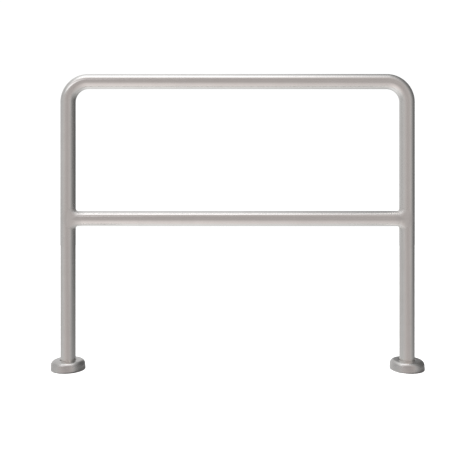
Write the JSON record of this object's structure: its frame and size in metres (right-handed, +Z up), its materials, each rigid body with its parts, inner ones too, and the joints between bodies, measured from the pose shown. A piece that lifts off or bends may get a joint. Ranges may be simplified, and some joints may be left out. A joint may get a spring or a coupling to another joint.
{
  "type": "handrail",
  "caption": "Floor-standing hoop handrail in satin stainless tube, with rounded corners, a knee rail between its posts, and round covers that slide up off its bolt-down feet.",
  "frame": {"origin": "on the floor, midway between the posts, at the bottom centre of the whole object", "axes": "+X along the rails from the left post to the right post, +Y through the hoop away from the viewer, +Z up"},
  "size_m": [1.265, 0.1158, 1],
  "materials": {
    "satin_tube": "satin ground stainless steel",
    "spun_cover": "spun and satin brushed stainless steel",
    "weld": "dressed stainless weld",
    "floor_plate": "pickled stainless plate",
    "grip_ring": "matt black moulded rubber"
  },
  "bodies": {
    "frame": {"top_rail": "satin_tube", "mid_rail": "satin_tube", "left_post": "satin_tube", "right_post": "satin_tube", "left_elbow": "satin_tube", "right_elbow": "satin_tube", "left_elbow_post_weld": "weld", "right_elbow_post_weld": "weld", "left_elbow_rail_weld": "weld", "right_elbow_rail_weld": "weld", "left_mid_rail_weld": "weld", "right_mid_rail_weld": "weld", "left_base_flange": "floor_plate", "right_base_flange": "floor_plate", "left_flange_weld": "weld", "right_flange_weld": "weld"},
    "left_cover": {"left_base_cover": "spun_cover", "left_cover_grip_ring": "grip_ring"},
    "right_cover": {"right_base_cover": "spun_cover", "right_cover_grip_ring": "grip_ring"}
  },
  "joints": [
    {"name": "left_cover_slide", "type": "slide", "parent": "frame", "child": "left_cover", "axis": [0, 0, 1], "range_m": [0, 0.444]},
    {"name": "right_cover_slide", "type": "slide", "parent": "frame", "child": "right_cover", "axis": [0, 0, 1], "range_m": [0, 0.444]}
  ]
}
